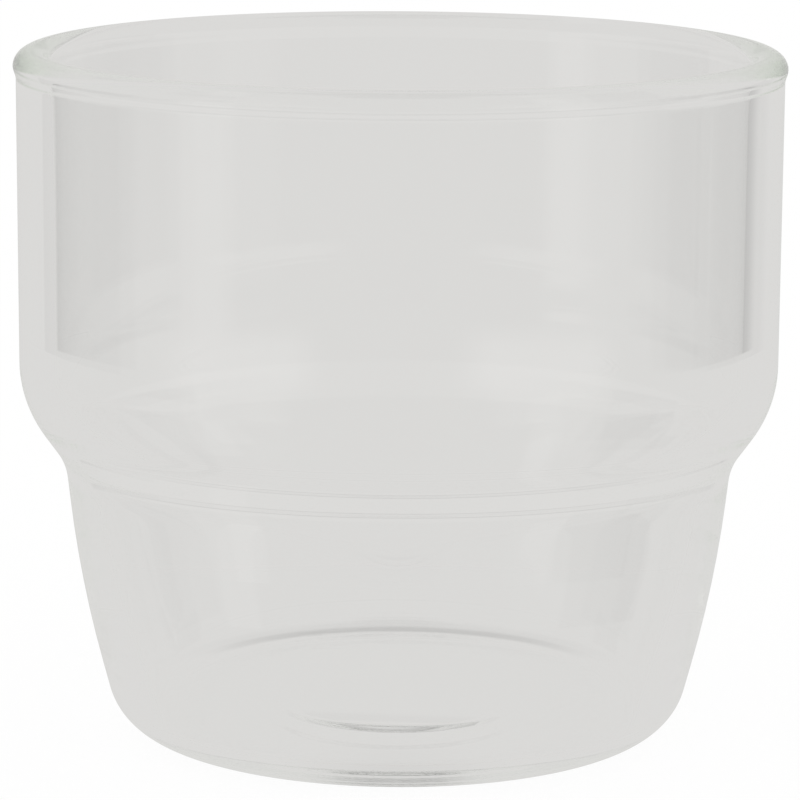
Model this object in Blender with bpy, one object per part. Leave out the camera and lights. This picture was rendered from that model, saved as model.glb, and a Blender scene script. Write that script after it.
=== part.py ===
"""Stacking juice glass: one turned body of clear glass.

Metres, +Z up. The origin is the centre of the base, on the table.
"""
import math

import bpy
from mathutils import Vector

# Mouth and upper wall
GLASS_HEIGHT = 0.0721
MOUTH_RADIUS = 0.0397  # outside of the wall, just under the rim bead
WALL_FLARE = 0.0001  # how much wider the wall is at the mouth than at the shoulder
WALL = 0.0037
BEAD_PROUD = 0.0003  # how far the fire-polished rim stands out from the wall
BEAD_HEIGHT = 0.0030
LIP_HEIGHT = 0.0017  # depth of the rounded top of the rim

# Stacking step: the lower body drops into the mouth of the glass below
STACK_CLEARANCE = 0.0010
STEP_HEIGHT = 0.0291
SHOULDER_SLOPE = math.radians(54.3)  # from the horizontal
SHOULDER_CURVE = 0.0122
STEP_CURVE = 0.0072
LEDGE_WALL = 0.0020  # thinnest here: below the step the inside has less draught than the outside
LEDGE_CURVE = 0.0045  # tighter than the step outside, so the edge shows as a fine line round the glass

# Lower body, drawn in from the step down to the heel
BELLY_HEIGHT = 0.0162
BELLY_DRAW = 0.00145  # radius lost from the step to the belly
BELLY_CURVE = 0.120
HEEL_DRAW = 0.0043  # radius lost from the belly to the table
HEEL_CURVE = 0.0066
BELLY_WALL = 0.0030
HEEL_WALL = 0.0038

# Base
FLOOR = 0.0030  # thickness of glass between the table and the inside floor
FLOOR_CURVE = 0.0016
PAD_RADIUS = 0.0142  # faint round pad in the middle of the inside floor
PAD_EDGE = 0.0010
PAD_RISE = 0.0002

# Fineness of the turned surface
TURN_STEPS = 64
ARC_STEP = math.radians(12)
LIP_STEP = math.radians(18)
BEAD_STEPS = 4
AXIS_MERGE = 0.00001

# Glass
GLASS_COLOUR = (0.80, 0.84, 0.80, 1.0)
GLASS_ROUGHNESS = 0.03
GLASS_IOR = 1.473


def corner_run(before, corner, after, curve):
    """How far from a corner its arc begins."""
    return curve / math.tan((before - corner).angle(after - corner) / 2)


def corner_arc(before, corner, after, curve):
    """Points of the arc that rounds a corner."""
    towards = (before - corner).normalized()
    away = (after - corner).normalized()
    half_angle = towards.angle(away) / 2
    run = corner_run(before, corner, after, curve)
    centre = corner + (towards + away).normalized() * curve / math.sin(half_angle)
    start = (corner + towards * run - centre).normalized()
    finish = (corner + away * run - centre).normalized()
    steps = max(2, math.ceil((math.pi - 2 * half_angle) / ARC_STEP))
    return [centre + start.slerp(finish, step / steps) * curve for step in range(steps + 1)]


def rounded(start, corners, end):
    """Points along a path from start to end, round (corner, curve radius) pairs."""
    stops = [start] + [corner for corner, curve in corners] + [end]
    path = [start]
    for index, (corner, curve) in enumerate(corners):
        path += corner_arc(stops[index], corner, stops[index + 2], curve)
    return path + [end]


def shifted_corner(before, corner, after, first_distance, second_distance):
    """Where the two lines of a corner cross, once each has moved to its left by its own distance."""
    first = (corner - before).normalized()
    second = (after - corner).normalized()
    first_left = Vector((-first.y, first.x))
    second_left = Vector((-second.y, second.x))
    turn = first_left.dot(second_left)
    first_share = (first_distance - turn * second_distance) / (1 - turn * turn)
    second_share = (second_distance - turn * first_distance) / (1 - turn * turn)
    return corner + first_left * first_share + second_left * second_share


def shifted_point(start, end, distance):
    """The start of a line, moved by a distance to the left of the line."""
    along = (end - start).normalized()
    return start + Vector((-along.y, along.x)) * distance


def level_point(start, end, height):
    """Where the line through two points crosses a height."""
    return start + (end - start) * (height - start.y) / (end.y - start.y)


def quarter(centre, width, height, start_angle):
    """A quarter of an ellipse, turning anticlockwise from an angle."""
    steps = math.ceil(math.pi / 2 / LIP_STEP)
    angles = [start_angle + math.pi / 2 * step / steps for step in range(steps + 1)]
    return [centre + Vector((width * math.cos(a), height * math.sin(a))) for a in angles]


def ease(start, end):
    """An S-shaped run that leaves and arrives along Z."""
    points = []
    for step in range(1, BEAD_STEPS):
        share = step / BEAD_STEPS
        across = (1 - math.cos(math.pi * share)) / 2
        points.append(Vector((start.x + (end.x - start.x) * across, start.y + (end.y - start.y) * share)))
    return points


def glass_profile():
    """Half section of the glass: up the inside, over the rim, down the outside, back to the axis."""
    shoulder_radius = MOUTH_RADIUS - WALL_FLARE
    step_radius = shoulder_radius - WALL - STACK_CLEARANCE
    shoulder_rise = (shoulder_radius - step_radius) * math.tan(SHOULDER_SLOPE)

    under_bead = Vector((MOUTH_RADIUS, GLASS_HEIGHT - BEAD_HEIGHT))
    shoulder = Vector((shoulder_radius, STEP_HEIGHT + shoulder_rise))
    step = Vector((step_radius, STEP_HEIGHT))
    belly = Vector((step_radius - BELLY_DRAW, BELLY_HEIGHT))
    heel = Vector((belly.x - HEEL_DRAW, 0))

    inner_belly = shifted_corner(heel, belly, step, BELLY_WALL, BELLY_WALL)
    ledge = shifted_corner(belly, step, shoulder, LEDGE_WALL, WALL)
    inner_shoulder = shifted_corner(step, shoulder, under_bead, WALL, WALL)
    inner_mouth = Vector((MOUTH_RADIUS - WALL, under_bead.y))
    inner_heel = shifted_point(heel, belly, HEEL_WALL)
    floor_edge = level_point(inner_heel, inner_belly, FLOOR)
    pad = [Vector((0, FLOOR + PAD_RISE)), Vector((PAD_RADIUS - PAD_EDGE, FLOOR + PAD_RISE))]
    inside = pad + rounded(
        Vector((PAD_RADIUS, FLOOR)),
        [
            (floor_edge, FLOOR_CURVE),
            (inner_belly, BELLY_CURVE - BELLY_WALL),
            (ledge, LEDGE_CURVE),
            (inner_shoulder, SHOULDER_CURVE - WALL),
        ],
        inner_mouth,
    )

    lip_width = (WALL + BEAD_PROUD) / 2
    lip = Vector((MOUTH_RADIUS + BEAD_PROUD - lip_width, GLASS_HEIGHT - LIP_HEIGHT))
    over_rim = quarter(lip, lip_width, LIP_HEIGHT, 0) + quarter(lip, lip_width, LIP_HEIGHT, math.pi / 2)[1:]
    over_rim.reverse()
    bead_run = ease(over_rim[-1], under_bead)

    outside = rounded(
        under_bead,
        [
            (shoulder, SHOULDER_CURVE),
            (step, STEP_CURVE),
            (belly, BELLY_CURVE),
            (heel, HEEL_CURVE),
        ],
        Vector((0, 0)),
    )
    return inside + over_rim + bead_run + outside


def turned(name, profile):
    """A new object whose mesh is a half section turned once about Z."""
    mesh = bpy.data.meshes.new(name)
    points = [(point.x, 0, point.y) for point in profile]
    mesh.from_pydata(points, [(i, i + 1) for i in range(len(points) - 1)], [])
    piece = bpy.data.objects.new(name, mesh)
    bpy.context.collection.objects.link(piece)
    screw = piece.modifiers.new("Turn", "SCREW")
    screw.axis = "Z"
    screw.steps = TURN_STEPS
    screw.render_steps = TURN_STEPS
    screw.use_merge_vertices = True
    screw.merge_threshold = AXIS_MERGE
    screw.use_smooth_shade = True
    return piece


def clear_glass():
    material = bpy.data.materials.new("clear_glass")
    material.use_nodes = True
    shader = material.node_tree.nodes["Principled BSDF"]
    shader.inputs["Base Color"].default_value = GLASS_COLOUR
    shader.inputs["Roughness"].default_value = GLASS_ROUGHNESS
    shader.inputs["Metallic"].default_value = 0.0
    shader.inputs["Transmission Weight"].default_value = 1.0
    shader.inputs["IOR"].default_value = GLASS_IOR
    return material


def build():
    for old in list(bpy.data.objects):
        bpy.data.objects.remove(old)
    glass = turned("glass_body", glass_profile())
    glass.data.materials.append(clear_glass())


build()
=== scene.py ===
"""Looks of a stacking juice glass: its fine turned surface, the clear glass, and a plain pale studio.

Metres, +Z up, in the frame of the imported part: the origin is the centre of the base, on the table.
"""
import math
from typing import NamedTuple

import bpy
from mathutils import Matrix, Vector, noise


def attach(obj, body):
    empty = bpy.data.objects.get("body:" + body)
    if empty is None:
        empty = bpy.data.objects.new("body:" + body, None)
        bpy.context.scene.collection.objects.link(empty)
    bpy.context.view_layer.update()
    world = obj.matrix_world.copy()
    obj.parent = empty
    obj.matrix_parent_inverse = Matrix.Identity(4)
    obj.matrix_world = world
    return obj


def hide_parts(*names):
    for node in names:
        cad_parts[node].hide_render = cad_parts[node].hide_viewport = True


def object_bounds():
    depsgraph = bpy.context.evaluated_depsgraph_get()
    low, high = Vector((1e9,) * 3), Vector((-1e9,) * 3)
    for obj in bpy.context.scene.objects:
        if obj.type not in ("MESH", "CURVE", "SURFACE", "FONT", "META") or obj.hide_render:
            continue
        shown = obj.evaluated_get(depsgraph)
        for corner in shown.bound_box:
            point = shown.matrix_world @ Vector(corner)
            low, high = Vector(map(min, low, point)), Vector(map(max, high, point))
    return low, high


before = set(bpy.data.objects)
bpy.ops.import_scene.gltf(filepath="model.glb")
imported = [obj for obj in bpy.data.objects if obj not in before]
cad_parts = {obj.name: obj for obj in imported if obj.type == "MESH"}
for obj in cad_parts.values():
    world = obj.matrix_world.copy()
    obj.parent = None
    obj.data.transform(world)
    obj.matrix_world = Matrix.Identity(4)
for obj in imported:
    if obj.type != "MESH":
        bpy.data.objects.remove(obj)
cad_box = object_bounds()

# Mouth and upper wall
GLASS_HEIGHT = cad_box[1].z
RIM_RADIUS = cad_box[1].x
BEAD_PROUD = 0.0003
BEAD_HEIGHT = 0.0030
LIP_HEIGHT = 0.0017
WALL_FLARE = 0.0001
WALL = 0.0037

# Stacking step
STACK_CLEARANCE = 0.0010
STEP_HEIGHT = 0.0291
SHOULDER_SLOPE = math.radians(54.3)
SHOULDER_CURVE = 0.0122
STEP_CURVE = 0.0072
LEDGE_WALL = 0.0020
LEDGE_CURVE = 0.0045

# Lower body and base
BELLY_HEIGHT = 0.0162
BELLY_DRAW = 0.00145
BELLY_CURVE = 0.120
BELLY_WALL = 0.0030
HEEL_DRAW = 0.0043
HEEL_CURVE = 0.0066
HEEL_WALL = 0.0038
FLOOR = 0.0030
FLOOR_CURVE = 0.0016
PAD_RADIUS = 0.0142
PAD_EDGE = 0.0012
PAD_RISE = 0.00055
PAD_LEAN = 8  # how sharply the rise of the pad is kept to its front
PAD_TURN = math.radians(5)  # how far to the left of the front the pad rises most

# Fineness of the turned surface
TURN_STEPS = 360
ARC_STEP = math.radians(3)
LEAST_ARC_STEPS = 6
LIP_STEP = math.radians(5)
EASE_STEPS = 14
RUN_STEP = 0.0022
SAME_POINT = 0.0000022  # points closer than this are one
FLOOR_STEP = 0.0005

# Unevenness that pressing leaves in the glass
REAM_DEPTH = 0.000005
REAM_LENGTH = 0.014
CHILL_WAVE = 0.0013  # from one ripple to the next
CHILL_WANDER = 0.004
MARKED_RADIUS = 0.0237  # the flat of the inside floor, where these marks lie


class ChillMark(NamedTuple):
    """A patch of fine ripples in the inside floor, where the glass met the cold plunger."""

    turn: float  # degrees, anticlockwise from the right
    spread: float  # degrees
    radius: float
    width: float
    depth: float


CHILL_MARKS = [
    ChillMark(135, 35, 0.0224, 0.0013, 0.000015),
    ChillMark(90, 60, 0.0228, 0.0005, 0.000012),
    ChillMark(-14, 22, 0.0190, 0.0022, 0.000012),
]

# Glass
GLASS_IOR = 1.473
DEPTH_COLOUR = (0.74, 0.85, 0.71, 1)
DEPTH_DENSITY = 0.6
STREAK_SCALE = 60.0
STREAK_COLOUR = (0.994, 0.996, 0.994, 1)
SCUFF_START = 0.0200
SCUFF_END = 0.0238
SCUFF_FADE = 0.001
SCUFF_HEIGHT = 0.0002
SCUFF_SCALE = 900.0
SCUFF_ROUGHNESS = 0.10

# Camera, fitted to the outline of the glass
CAMERA_PLACE = (0.0, -0.4566, 0.1211)
CAMERA_TILT = 0.18632
CAMERA_ROLL = math.radians(0.34)
PICTURE_WIDTH = 800
FOCAL_PIXELS = 4427.3
CENTRE_PIXEL = 398.6
SENSOR_WIDTH = 36.0
CLIP_START = 0.01

# Light of the studio
LIGHT_BOUNCES = 512  # the glass of the rim leads light round for long
STUDIO_GREY = 0.705
STUDIO_TINT = (1.0, 0.991, 0.974)
WHITE = (1, 1, 1, 1)


class Panel(NamedTuple):
    """A screen or softbox round the glass, as directions in degrees, and how softly its edges fade.

    Azimuth 0 is towards the camera, positive to its right, and 180 is behind the glass.
    """

    left: float
    right: float
    side_fade: float
    bottom: float
    top: float
    level_fade: float
    brightness: float


SIDE_PANELS = [
    Panel(-86, -62, 6.0, -40, 5, 1.0, 0.78),  # pale screen at the left
    Panel(-67, -53, 1.5, -40, 5, 1.0, 1.04),  # softbox in front of it
    Panel(-62, -36, 6.0, -14, -10.8, 0.2, 0.90),  # its glow on the ground
    Panel(-72, -28, 8.0, -10.9, -10.15, 0.25, 1.18),  # the brightest strip of that glow
    Panel(43, 64, 2.0, -40, 5, 1.0, 0.80),  # pale screen at the right
    Panel(30, 56, 6.0, -14, -10.8, 0.2, 0.88),  # its glow on the ground
    Panel(22, 66, 8.0, -10.9, -10.15, 0.25, 1.18),  # the brightest strip of that glow
    Panel(-133, -91, 1.0, -12, 4, 0.2, 0.45),  # dark screen behind at the left
    Panel(86, 105, 2.0, -10.45, 4, 0.1, 0.42),  # three dark screens behind at the right
    Panel(105, 127, 0.6, -12, 4, 0.2, 0.38),
    Panel(122, 140, 5.0, -12, 4, 0.2, 0.52),
    Panel(64, 100, 1.0, -35, -12, 1.0, 0.45),  # low dark screen at the right
]
# Alike on both sides: left and right are angles from the front, on either side
BACK_PANELS = [
    Panel(-1, 181, 3.0, 80, 91, 3.0, 0.04),  # dark ceiling
    Panel(140, 181, 4.0, 62, 91, 3.0, 0.04),  # the same, farther down behind
    Panel(165, 181, 4.0, -5, 4, 0.8, 0.72),  # pale strip behind
    Panel(174, 181, 2.0, 6.5, 11, 1.0, 0.61),  # darker strip above it
]

# Table
TABLE_SIZE = 2.0
TABLE_DROP = 0.0002
TABLE_WHITE = 0.96
TABLE_SHADOW = 0.06
TABLE_NEAR = 0.060  # the glass sees the table this far out, and the studio beyond it
TABLE_REACH = 0.258  # it sees two wings of the table farther out, which hide the foot of the dark screens
WING_FRONT = -0.025
WING_START = 0.100
HEEL_SHADE = 0.22  # painted shade where the heel meets the table, behind
SOFT_SHADE = 0.07  # painted shade farther out behind
FRONT_SHADE = 0.06  # painted shade under the front of the base
SHADE_START = 0.0262
HEEL_SHADE_END = 0.0288
SOFT_SHADE_END = 0.037
FRONT_SHADE_SPOT = (0.0, -0.025, 0.0)
FRONT_SHADE_RADIUS = 0.014
EDGE_FADE = 0.001


class Wire:
    """An output of a node that stands in Python expressions: each operation adds a Math node."""

    def __init__(self, tree, socket):
        self.tree = tree
        self.socket = socket

    @classmethod
    def node(cls, tree, kind, settings=None, sockets=None, output=0):
        """Adds a node: its settings are set first, then the values or links of its sockets."""
        made = tree.nodes.new(kind)
        for name, value in (settings or {}).items():
            setattr(made, name, value)
        for key, value in (sockets or {}).items():
            if isinstance(value, Wire):
                tree.links.new(value.socket, made.inputs[key])
            else:
                made.inputs[key].default_value = value
        return cls(tree, made.outputs[output]) if made.outputs else made

    def maths(self, operation, *operands):
        return Wire.node(self.tree, "ShaderNodeMath", {"operation": operation}, dict(enumerate(operands)))

    def __add__(self, other):
        return self.maths("ADD", self, other)

    __radd__ = __add__

    def __sub__(self, other):
        return self.maths("SUBTRACT", self, other)

    def __rsub__(self, other):
        return self.maths("SUBTRACT", other, self)

    def __mul__(self, other):
        return self.maths("MULTIPLY", self, other)

    __rmul__ = __mul__

    def between(self, low, high, softness):
        """1 from low to high, falling to 0 outside over a soft edge."""
        rise = self.step(low - softness, low + softness)
        return rise * (1 - self.step(high - softness, high + softness))

    def step(self, start, finish):
        """0 before start, 1 after finish, and smooth between them."""
        sockets = {"Value": self, "From Min": start, "From Max": finish}
        return Wire.node(self.tree, "ShaderNodeMapRange", {"interpolation_type": "SMOOTHSTEP"}, sockets)


def corner_arc(before, corner, after, curve):
    """Points of the arc that rounds a corner."""
    towards = (before - corner).normalized()
    away = (after - corner).normalized()
    half_angle = towards.angle(away) / 2
    run = curve / math.tan(half_angle)
    centre = corner + (towards + away).normalized() * curve / math.sin(half_angle)
    start = (corner + towards * run - centre).normalized()
    finish = (corner + away * run - centre).normalized()
    steps = max(LEAST_ARC_STEPS, math.ceil((math.pi - 2 * half_angle) / ARC_STEP))
    return [centre + start.slerp(finish, step / steps) * curve for step in range(steps + 1)]


def rounded(start, corners, end):
    """Points along a path from start to end, round (corner, curve radius) pairs."""
    stops = [start] + [corner for corner, curve in corners] + [end]
    path = [start]
    for index, (corner, curve) in enumerate(corners):
        path += corner_arc(stops[index], corner, stops[index + 2], curve)
    return path + [end]


def shifted_corner(before, corner, after, first_distance, second_distance):
    """Where the two lines of a corner cross, once each has moved to its left by its own distance."""
    first = (corner - before).normalized()
    second = (after - corner).normalized()
    first_left = Vector((-first.y, first.x))
    second_left = Vector((-second.y, second.x))
    turn = first_left.dot(second_left)
    first_share = (first_distance - turn * second_distance) / (1 - turn * turn)
    second_share = (second_distance - turn * first_distance) / (1 - turn * turn)
    return corner + first_left * first_share + second_left * second_share


def shifted_point(start, end, distance):
    """The start of a line, moved by a distance to the left of the line."""
    along = (end - start).normalized()
    return start + Vector((-along.y, along.x)) * distance


def level_point(start, end, height):
    """Where the line through two points crosses a height."""
    return start + (end - start) * (height - start.y) / (end.y - start.y)


def quarter(centre, width, height, start_angle):
    """A quarter of an ellipse, turning anticlockwise from an angle."""
    steps = math.ceil(math.pi / 2 / LIP_STEP)
    angles = [start_angle + math.pi / 2 * step / steps for step in range(steps + 1)]
    return [centre + Vector((width * math.cos(a), height * math.sin(a))) for a in angles]


def ease(start, end):
    """An S-shaped run between two points, which leaves and arrives along Z."""
    points = []
    for step in range(EASE_STEPS + 1):
        share = step / EASE_STEPS
        point = start.lerp(end, share)
        point.x = start.x + (end.x - start.x) * (1 - math.cos(math.pi * share)) / 2
        points.append(point)
    return points


def filled(path):
    """The path with points added along its long straight runs, and no point twice."""
    points = [path[0]]
    for start, end in zip(path, path[1:]):
        length = (end - start).length
        if length < SAME_POINT:
            continue
        parts = math.ceil(length / RUN_STEP)
        points += [start.lerp(end, part / parts) for part in range(1, parts + 1)]
    return points


def glass_profile():
    """Half section of the glass: up the inside, over the rim, down the outside, back to the axis."""
    mouth_radius = RIM_RADIUS - BEAD_PROUD
    shoulder_radius = mouth_radius - WALL_FLARE
    step_radius = shoulder_radius - WALL - STACK_CLEARANCE
    shoulder_rise = (shoulder_radius - step_radius) * math.tan(SHOULDER_SLOPE)

    under_bead = Vector((mouth_radius, GLASS_HEIGHT - BEAD_HEIGHT))
    shoulder = Vector((shoulder_radius, STEP_HEIGHT + shoulder_rise))
    step = Vector((step_radius, STEP_HEIGHT))
    belly = Vector((step_radius - BELLY_DRAW, BELLY_HEIGHT))
    heel = Vector((belly.x - HEEL_DRAW, 0))

    inner_belly = shifted_corner(heel, belly, step, BELLY_WALL, BELLY_WALL)
    ledge = shifted_corner(belly, step, shoulder, LEDGE_WALL, WALL)
    inner_shoulder = shifted_corner(step, shoulder, under_bead, WALL, WALL)
    inner_mouth = Vector((mouth_radius - WALL, under_bead.y))
    inner_heel = shifted_point(heel, belly, HEEL_WALL)
    floor_edge = level_point(inner_heel, inner_belly, FLOOR)
    floor_steps = math.floor(MARKED_RADIUS / FLOOR_STEP)
    floor = [Vector((FLOOR_STEP * step, FLOOR)) for step in range(floor_steps + 1)]
    inside = floor[:-1] + rounded(
        floor[-1],
        [
            (floor_edge, FLOOR_CURVE),
            (inner_belly, BELLY_CURVE - BELLY_WALL),
            (ledge, LEDGE_CURVE),
            (inner_shoulder, SHOULDER_CURVE - WALL),
        ],
        inner_mouth,
    )

    lip_width = (WALL + BEAD_PROUD) / 2
    lip = Vector((RIM_RADIUS - lip_width, GLASS_HEIGHT - LIP_HEIGHT))
    over_rim = quarter(lip, lip_width, LIP_HEIGHT, 0) + quarter(lip, lip_width, LIP_HEIGHT, math.pi / 2)
    over_rim.reverse()

    outside = rounded(
        under_bead,
        [
            (shoulder, SHOULDER_CURVE),
            (step, STEP_CURVE),
            (belly, BELLY_CURVE),
            (heel, HEEL_CURVE),
        ],
        Vector((0, 0)),
    )
    return filled(inside + over_rim + ease(over_rim[-1], under_bead) + outside)


def ream(radius, height, angle):
    """Depth of the faint unevenness at a place on the inside of the glass."""
    place = Vector((radius * math.cos(angle), radius * math.sin(angle), height))
    return REAM_DEPTH * noise.noise(place / REAM_LENGTH)


def pad_rise(radius, angle):
    """Height of the pressed pad in the middle of the inside floor, which rises only towards the front."""
    if radius > PAD_RADIUS:
        return 0
    inwards = min(1, (PAD_RADIUS - radius) / PAD_EDGE)
    front = (1 - radius / PAD_RADIUS * math.sin(angle + PAD_TURN)) / 2
    return PAD_RISE * (1 - math.cos(math.pi * inwards)) / 2 * front ** PAD_LEAN


def chill_rise(radius, angle):
    """Height of the chill marks at a place on the inside floor."""
    place = Vector((radius * math.cos(angle), radius * math.sin(angle), 0))
    wave = radius / CHILL_WAVE + noise.noise(place / CHILL_WANDER)
    rise = 0
    for mark in CHILL_MARKS:
        turn = (math.degrees(angle) - mark.turn + 180) % 360 - 180
        distance = Vector((turn / mark.spread, (radius - mark.radius) / mark.width))
        rise += mark.depth * math.exp(-distance.length_squared) * math.sin(2 * math.pi * wave)
    return rise


def turned_glass():
    """The glass as one closed mesh: its half section turned about Z, with the unevenness of the inside."""
    profile = glass_profile()
    rim = max(range(len(profile)), key=lambda index: profile[index].y)
    vertices = []
    rings = []
    for index, point in enumerate(profile):
        if index in (0, len(profile) - 1):
            rings.append([len(vertices)] * TURN_STEPS)
            vertices.append((0, 0, point.y))
            continue
        along = (profile[index + 1] - profile[index - 1]).normalized()
        inward = Vector((-along.y, along.x))
        rings.append(range(len(vertices), len(vertices) + TURN_STEPS))
        for turn in range(TURN_STEPS):
            angle = 2 * math.pi * turn / TURN_STEPS
            depth = ream(point.x, point.y, angle) if index < rim else 0
            radius = point.x + inward.x * depth
            height = point.y + inward.y * depth
            if index < rim and radius < MARKED_RADIUS:
                height += pad_rise(radius, angle) + chill_rise(radius, angle)
            vertices.append((radius * math.cos(angle), radius * math.sin(angle), height))

    faces = []
    for lower, upper in zip(rings, rings[1:]):
        for turn in range(TURN_STEPS):
            following = (turn + 1) % TURN_STEPS
            corners = [lower[turn], lower[following], upper[following], upper[turn]]
            faces.append(list(dict.fromkeys(corners)))

    mesh = bpy.data.meshes.new("juice_glass")
    mesh.from_pydata(vertices, [], faces)
    mesh.flip_normals()
    mesh.shade_smooth()
    piece = bpy.data.objects.new("juice_glass", mesh)
    bpy.context.collection.objects.link(piece)
    return piece


def clear_glass():
    """Clear pressed glass with a faint green in its depth, scuffed where the base rubs on tables."""
    material = bpy.data.materials.new("clear_glass")
    material.use_nodes = True
    tree = material.node_tree
    tree.nodes.clear()
    place = Wire.node(tree, "ShaderNodeTexCoord", output="Object")
    streaks = Wire.node(tree, "ShaderNodeTexNoise", sockets={"Vector": place, "Scale": STREAK_SCALE})
    colour = Wire.node(
        tree,
        "ShaderNodeMix",
        {"data_type": "RGBA"},
        {"Factor": streaks, "A": STREAK_COLOUR, "B": WHITE},
        "Result",
    )
    height = Wire.node(tree, "ShaderNodeSeparateXYZ", sockets={0: place}, output="Z")
    radius = Wire.node(tree, "ShaderNodeVectorMath", {"operation": "LENGTH"}, {0: place}, "Value")
    scuffs = Wire.node(tree, "ShaderNodeTexNoise", sockets={"Vector": place, "Scale": SCUFF_SCALE})
    rubbed = radius.between(SCUFF_START, SCUFF_END, SCUFF_FADE) * (1 - height.step(0, SCUFF_HEIGHT))
    roughness = SCUFF_ROUGHNESS * rubbed * scuffs
    shader = Wire.node(
        tree,
        "ShaderNodeBsdfPrincipled",
        sockets={
            "Base Color": colour,
            "Roughness": roughness,
            "IOR": GLASS_IOR,
            "Transmission Weight": 1.0,
        },
    )
    depth = Wire.node(
        tree,
        "ShaderNodeVolumeAbsorption",
        sockets={"Color": DEPTH_COLOUR, "Density": DEPTH_DENSITY},
    )
    Wire.node(tree, "ShaderNodeOutputMaterial", sockets={"Surface": shader, "Volume": depth})
    return material


def studio_world():
    """A pale grey studio with its screens and softboxes for the glass, and plain white for the camera."""
    world = bpy.data.worlds.new("studio")
    bpy.context.scene.world = world
    world.use_nodes = True
    tree = world.node_tree
    tree.nodes.clear()
    direction = Wire.node(tree, "ShaderNodeTexCoord", output="Generated")
    right, away, up = [
        Wire.node(tree, "ShaderNodeSeparateXYZ", sockets={0: direction}, output=axis) for axis in "XYZ"
    ]
    azimuth = right.maths("ARCTAN2", right, away * -1) * math.degrees(1)
    elevation = up.maths("ARCSINE", up) * math.degrees(1)
    either_side = azimuth.maths("ABSOLUTE", azimuth)
    light = STUDIO_GREY
    for turn, panels in ((azimuth, SIDE_PANELS), (either_side, BACK_PANELS)):
        for panel in panels:
            across = turn.between(panel.left, panel.right, panel.side_fade)
            cover = across * elevation.between(panel.bottom, panel.top, panel.level_fade)
            light = light + cover * (panel.brightness - light)
    camera_ray = Wire.node(tree, "ShaderNodeLightPath", output="Is Camera Ray")
    tinted = Wire.node(
        tree,
        "ShaderNodeVectorMath",
        {"operation": "SCALE"},
        {0: STUDIO_TINT, "Scale": light},
    )
    shown = Wire.node(
        tree,
        "ShaderNodeMix",
        {"data_type": "RGBA"},
        {"Factor": camera_ray, "A": tinted, "B": WHITE},
        "Result",
    )
    background = Wire.node(tree, "ShaderNodeBackground", sockets={"Color": shown})
    Wire.node(tree, "ShaderNodeOutputWorld", sockets={"Surface": background})


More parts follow.
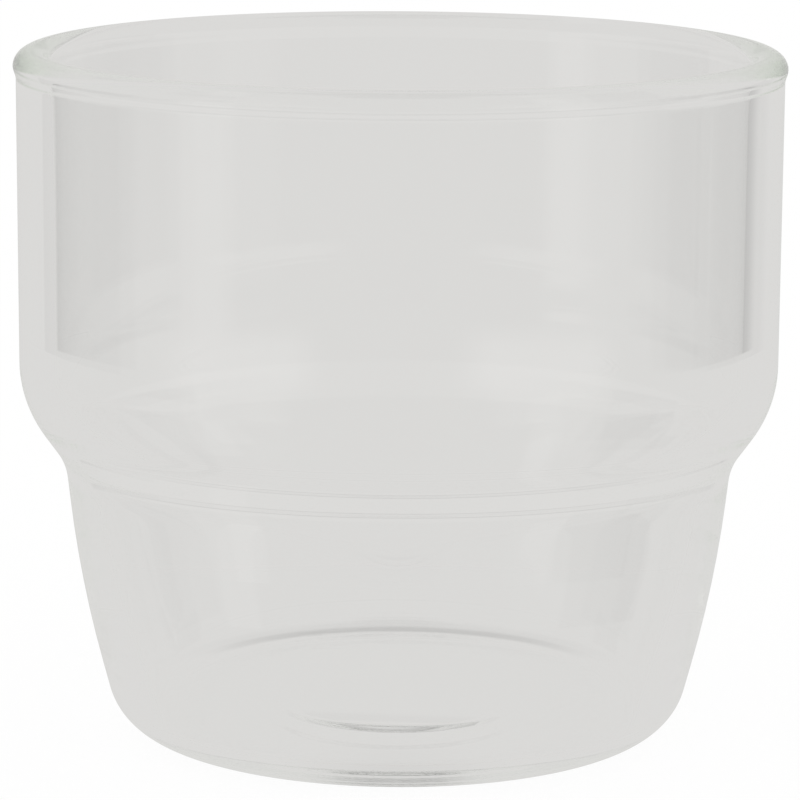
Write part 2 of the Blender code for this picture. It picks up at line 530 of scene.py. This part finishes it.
def table():
    """A white table for the camera; the glass sees it grey, with soft painted shades behind and before its
    foot.
    """
    mesh = bpy.data.meshes.new("table")
    half = TABLE_SIZE / 2
    corners = [(-half, -half, 0), (half, -half, 0), (half, half, 0), (-half, half, 0)]
    mesh.from_pydata(corners, [], [(0, 1, 2, 3)])
    top = bpy.data.objects.new("table", mesh)
    top.location.z = -TABLE_DROP
    bpy.context.collection.objects.link(top)

    material = bpy.data.materials.new("table")
    mesh.materials.append(material)
    material.use_nodes = True
    tree = material.node_tree
    tree.nodes.clear()
    place = Wire.node(tree, "ShaderNodeNewGeometry", output="Position")
    radius = Wire.node(tree, "ShaderNodeVectorMath", {"operation": "LENGTH"}, {0: place}, "Value")
    camera_ray = Wire.node(tree, "ShaderNodeLightPath", output="Is Camera Ray")
    away = Wire.node(tree, "ShaderNodeSeparateXYZ", sockets={0: place}, output="Y")
    behind = away.step(SHADE_START / 2, SHADE_START)
    outside = radius.step(SHADE_START - EDGE_FADE, SHADE_START)
    heel = HEEL_SHADE * (1 - radius.step(SHADE_START, HEEL_SHADE_END))
    soft = SOFT_SHADE * (1 - radius.step(SHADE_START, SOFT_SHADE_END))
    from_spot = Wire.node(
        tree,
        "ShaderNodeVectorMath",
        {"operation": "DISTANCE"},
        {0: place, 1: FRONT_SHADE_SPOT},
        "Value",
    )
    front = FRONT_SHADE * (1 - from_spot.step(0, FRONT_SHADE_RADIUS))
    # painted contact shade, drawn into the grey that the glass sees
    shade = outside * behind * (heel + soft) + front
    grey = STUDIO_GREY * (1 - shade)
    tinted = Wire.node(tree, "ShaderNodeVectorMath", {"operation": "SCALE"}, {0: STUDIO_TINT, "Scale": grey})
    seen_by_glass = Wire.node(tree, "ShaderNodeEmission", sockets={"Color": tinted})
    clear = Wire.node(tree, "ShaderNodeBsdfTransparent")
    near = 1 - radius.step(TABLE_NEAR, TABLE_NEAR + EDGE_FADE)
    across = Wire.node(tree, "ShaderNodeSeparateXYZ", sockets={0: place}, output="X")
    beside = across.maths("ABSOLUTE", across).step(WING_START - EDGE_FADE, WING_START)
    wings = beside * away.step(WING_FRONT - EDGE_FADE, WING_FRONT)
    wings = wings * (1 - radius.step(TABLE_REACH, TABLE_REACH + EDGE_FADE))
    for_glass = Wire.node(tree, "ShaderNodeMixShader", sockets={0: near + wings, 1: clear, 2: seen_by_glass})
    white = Wire.node(tree, "ShaderNodeEmission", sockets={"Strength": TABLE_WHITE})
    shadowed = Wire.node(
        tree,
        "ShaderNodeBsdfDiffuse",
        sockets={"Color": (TABLE_SHADOW, TABLE_SHADOW, TABLE_SHADOW, 1)},
    )
    for_camera = Wire.node(tree, "ShaderNodeAddShader", sockets={0: white, 1: shadowed})
    surface = Wire.node(tree, "ShaderNodeMixShader", sockets={0: camera_ray, 1: for_glass, 2: for_camera})
    Wire.node(tree, "ShaderNodeOutputMaterial", sockets={"Surface": surface})
    return top


def camera():
    """The camera at the photograph's angle."""
    lens = bpy.data.cameras.new("camera")
    lens.sensor_width = SENSOR_WIDTH
    lens.lens = FOCAL_PIXELS / PICTURE_WIDTH * SENSOR_WIDTH
    lens.shift_x = (PICTURE_WIDTH / 2 - CENTRE_PIXEL) / PICTURE_WIDTH
    lens.clip_start = CLIP_START
    holder = bpy.data.objects.new("camera", lens)
    holder.location = CAMERA_PLACE
    holder.rotation_mode = "ZXY"
    holder.rotation_euler = (math.pi / 2 - CAMERA_TILT, 0, CAMERA_ROLL)
    bpy.context.collection.objects.link(holder)
    bpy.context.scene.camera = holder


camera()
studio_world()
table()
glass = turned_glass()
glass.data.materials.append(clear_glass())
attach(glass, "root")
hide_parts("glass_body")

settings = bpy.context.scene
settings.view_settings.view_transform = "Standard"
settings.cycles.max_bounces = LIGHT_BOUNCES
settings.cycles.transmission_bounces = LIGHT_BOUNCES
settings.cycles.glossy_bounces = LIGHT_BOUNCES
